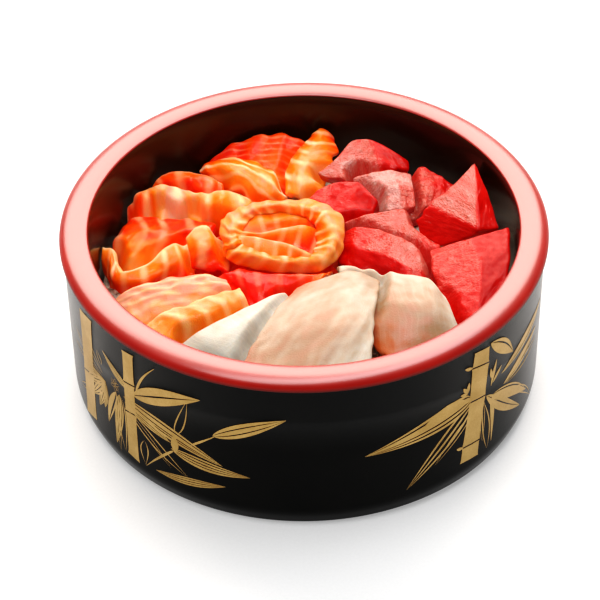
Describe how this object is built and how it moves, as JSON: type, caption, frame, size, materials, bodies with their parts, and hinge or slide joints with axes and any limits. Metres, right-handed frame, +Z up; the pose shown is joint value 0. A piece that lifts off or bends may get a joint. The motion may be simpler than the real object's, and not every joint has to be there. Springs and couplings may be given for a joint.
{
  "type": "chirashi bowl",
  "caption": "Round black lacquer-look tub with a red rim and gold bamboo print, filled with rice under overlapping slices of raw salmon, tuna and white fish.",
  "frame": {"origin": "middle of the tub's foot, on the surface it stands on", "axes": "+Z up through the middle of the tub, the viewer on the -Y side, +X to the viewer's right"},
  "size_m": [0.195, 0.195, 0.0765],
  "materials": {
    "lacquer": "gloss black lacquer with a painted red rim and a flat gold print",
    "rice": "moist cooked grains",
    "salmon": "wet raw flesh with cream fat lines",
    "tuna": "moist raw flesh with a fine grain",
    "white_fish": "translucent moist raw flesh"
  },
  "bodies": {
    "root": {"bowl": "lacquer", "salmon_rose": "salmon", "salmon_rose_heart": "salmon", "salmon_arch": "salmon", "salmon_wave_front": "salmon", "salmon_wave_inner": "salmon", "salmon_wave_left": "salmon", "salmon_wave_left_back": "salmon", "salmon_slab_front": "salmon", "salmon_slab_left": "salmon", "salmon_under_rose": "salmon", "white_drape": "white_fish", "white_left": "white_fish", "tuna_wall": "tuna", "tuna_point": "tuna", "white_right": "white_fish", "white_tip": "white_fish", "tuna_front": "tuna", "tuna_middle": "tuna", "tuna_ridge": "tuna", "tuna_pale": "tuna", "tuna_peak": "tuna", "tuna_back": "tuna", "salmon_knob": "salmon", "salmon_fold": "salmon", "salmon_fan": "salmon", "salmon_rose_bed": "salmon", "rice": "rice"}
  },
  "joints": []
}
